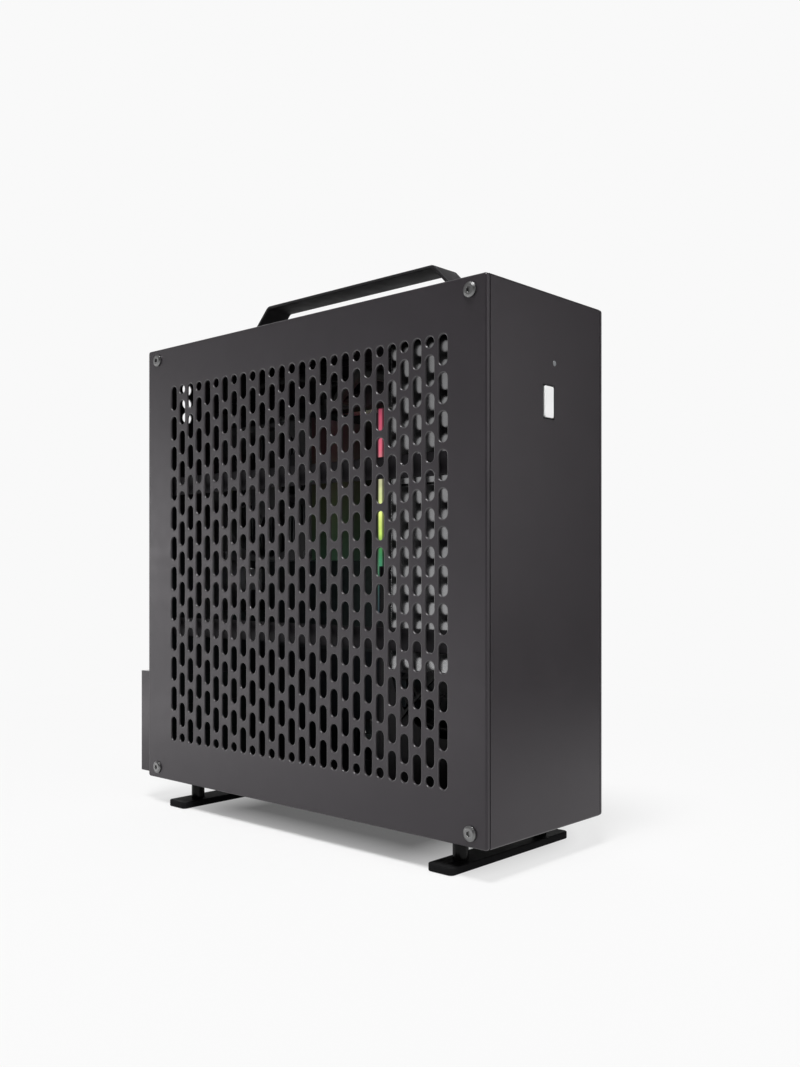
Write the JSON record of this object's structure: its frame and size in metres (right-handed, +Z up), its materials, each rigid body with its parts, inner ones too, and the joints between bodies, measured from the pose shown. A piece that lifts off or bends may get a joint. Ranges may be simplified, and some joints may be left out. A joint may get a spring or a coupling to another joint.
{
  "type": "mini-itx computer case",
  "caption": "Slim upright case for a small computer, with vented steel side panels, a strap handle on top, foot bars, a white power button and lit inner parts behind the vents.",
  "frame": {"origin": "middle of the bounding box, on the plane the foot bars stand on", "axes": "+X to the right seen from the front, +Y from the front to the rear, +Z up"},
  "size_m": [0.111, 0.3046, 0.334],
  "materials": {
    "panel_paint": "satin powder coat",
    "shell_paint": "satin powder coat",
    "inner_black": "satin",
    "handle_black": "satin",
    "bar_black": "satin",
    "post_gloss": "gloss",
    "slot_black": "satin",
    "supply_paint": "satin",
    "light_screw": "satin",
    "dark_screw": "satin black",
    "nut_steel": "satin",
    "socket_steel": "satin",
    "shield_steel": "satin",
    "port_steel": "satin",
    "grille_wire": "satin black wire",
    "fin_metal": "satin",
    "drive_metal": "satin",
    "standoff_brass": "satin",
    "button_white": "satin",
    "inner_plastic": "matte",
    "fan_plastic": "satin",
    "memory_black": "satin",
    "board": "satin",
    "socket_white": "satin",
    "lead_black": "matte",
    "light_lens": "clear lens",
    "memory_light": "lit diffuser"
  },
  "bodies": {
    "case": {"left_side_panel": "panel_paint", "right_side_panel": "panel_paint", "left_panel_screws": "light_screw", "right_panel_screws": "light_screw", "body_shell": "shell_paint", "shell_screws": "dark_screw", "rear_panel": "shell_paint", "side_rails": "inner_black", "mainboard_tray": "inner_black", "handle": "handle_black", "handle_screws": "dark_screw", "handle_nuts": "nut_steel", "front_foot_bar": "bar_black", "rear_foot_bar": "bar_black", "foot_posts": "post_gloss", "foot_screws": "dark_screw", "foot_nuts": "nut_steel", "power_switch": "inner_plastic", "status_light": "light_lens", "switch_lead": "lead_black", "slot_covers": "slot_black", "slot_ledge": "shell_paint", "slot_screws": "light_screw", "slot_clamp_cover": "shell_paint", "clamp_screw": "light_screw", "io_shield": "shield_steel", "rear_ports": "port_steel", "audio_jacks": "inner_plastic", "mainboard": "board", "board_standoffs": "standoff_brass", "board_screws": "nut_steel", "memory_sockets": "inner_plastic", "memory_stick": "memory_black", "memory_light_bar": "memory_light", "card_slot": "inner_plastic", "board_power_socket": "socket_white", "board_power_plug": "inner_plastic", "board_power_cable": "lead_black", "processor_socket": "socket_steel", "cooler_fins": "fin_metal", "cooler_fan_frame": "fan_plastic", "cooler_fan_screws": "dark_screw", "supply_case": "supply_paint", "supply_core": "inner_plastic", "supply_fan_grille": "grille_wire", "supply_bracket": "inner_black", "supply_screws": "nut_steel", "supply_inlet": "inner_plastic", "supply_plug": "inner_plastic", "inlet_lead": "lead_black", "rear_inlet": "inner_plastic", "inlet_screws": "light_screw", "drive_plate": "inner_black", "drives": "drive_metal", "drive_screws": "nut_steel"},
    "button": {"power_button": "button_white"},
    "cooler_rotor": {"cooler_fan_rotor": "fan_plastic"},
    "supply_rotor": {"supply_fan_rotor": "fan_plastic"}
  },
  "joints": [
    {"name": "button_press", "type": "slide", "parent": "case", "child": "button", "axis": [0, 1, 0], "range_m": [0, 0.0015], "stiffness_N_per_m": 400},
    {"name": "cooler_fan_spin", "type": "hinge", "parent": "case", "child": "cooler_rotor", "pos_m": [-0.005, 0.0605, 0.209], "axis": [1, 0, 0], "continuous": true},
    {"name": "supply_fan_spin", "type": "hinge", "parent": "case", "child": "supply_rotor", "pos_m": [-0.005, -0.0907, 0.104], "axis": [1, 0, 0], "continuous": true}
  ]
}
